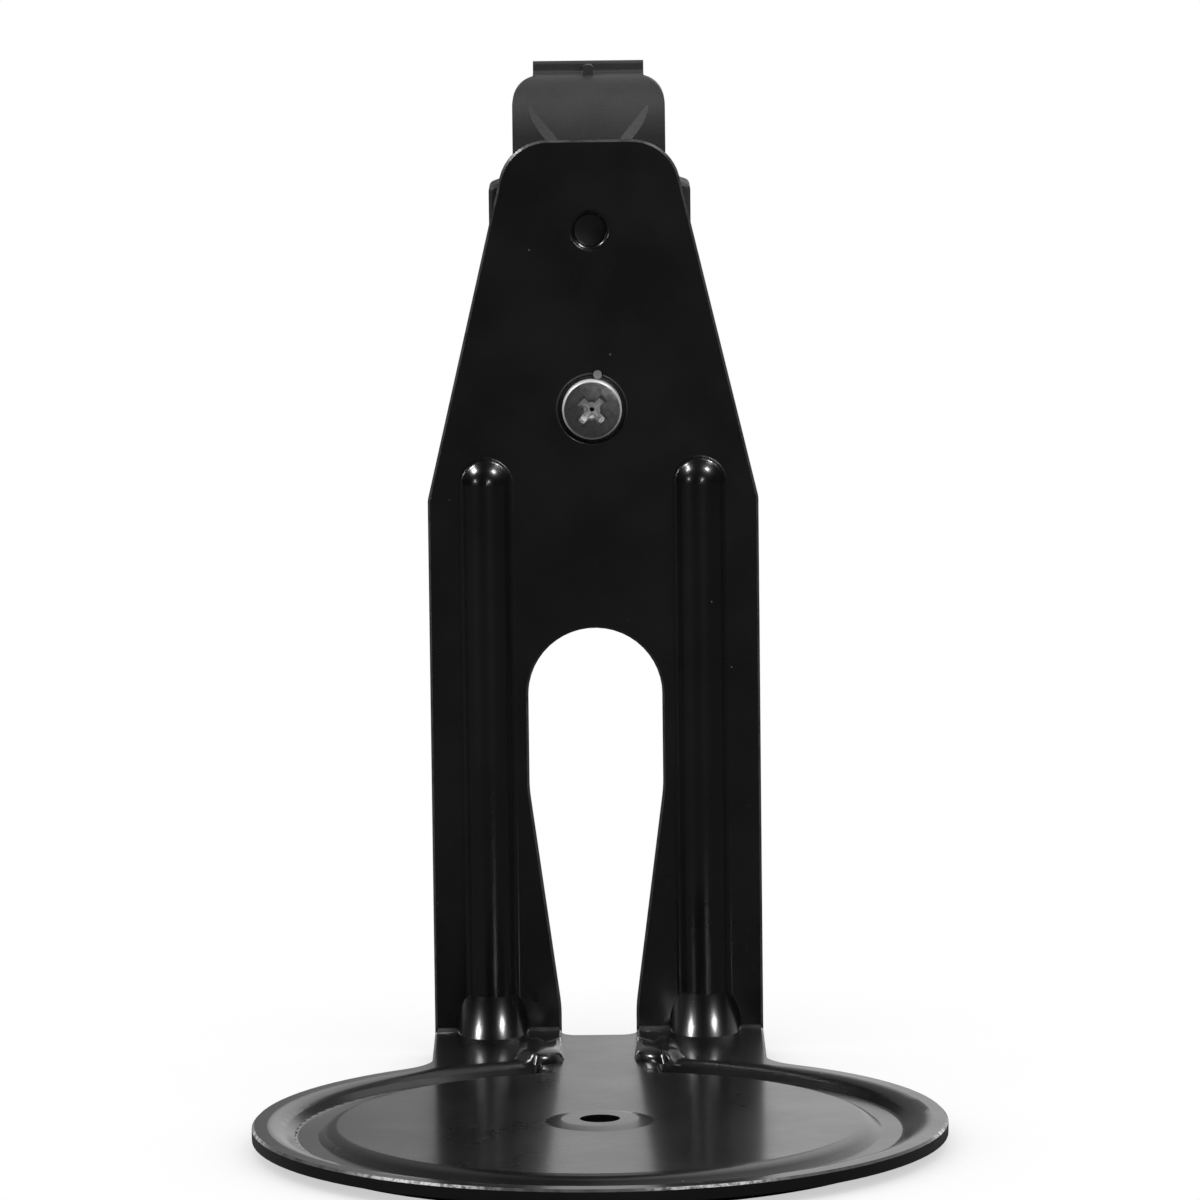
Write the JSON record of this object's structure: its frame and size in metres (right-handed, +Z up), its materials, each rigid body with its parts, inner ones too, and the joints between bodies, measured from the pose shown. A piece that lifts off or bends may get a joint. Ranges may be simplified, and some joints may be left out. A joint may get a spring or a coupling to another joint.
{
  "type": "speaker wall bracket",
  "caption": "Pressed steel loudspeaker bracket: round dished base, ribbed upright with an arched window, and a hooded plastic hook clamped to its head by a screw.",
  "frame": {"origin": "middle of the round base's fixing hole, on the surface that the base stands on", "axes": "+Z up along the upright, -Y towards the free side of the base, +Y towards the hook, +X to the right as seen from the free side"},
  "size_m": [0.1, 0.1398, 0.1502],
  "materials": {
    "black_paint": "gloss black paint on steel sheet",
    "grey_plastic": "fine matte grey moulding",
    "zinc_screw": "bright zinc plating, scuffed",
    "zinc_nut": "bright zinc plating"
  },
  "bodies": {
    "root": {"pressed_stand": "black_paint", "hook_bracket": "grey_plastic", "clamp_screw": "zinc_screw", "clamp_nut": "zinc_nut"}
  },
  "joints": []
}
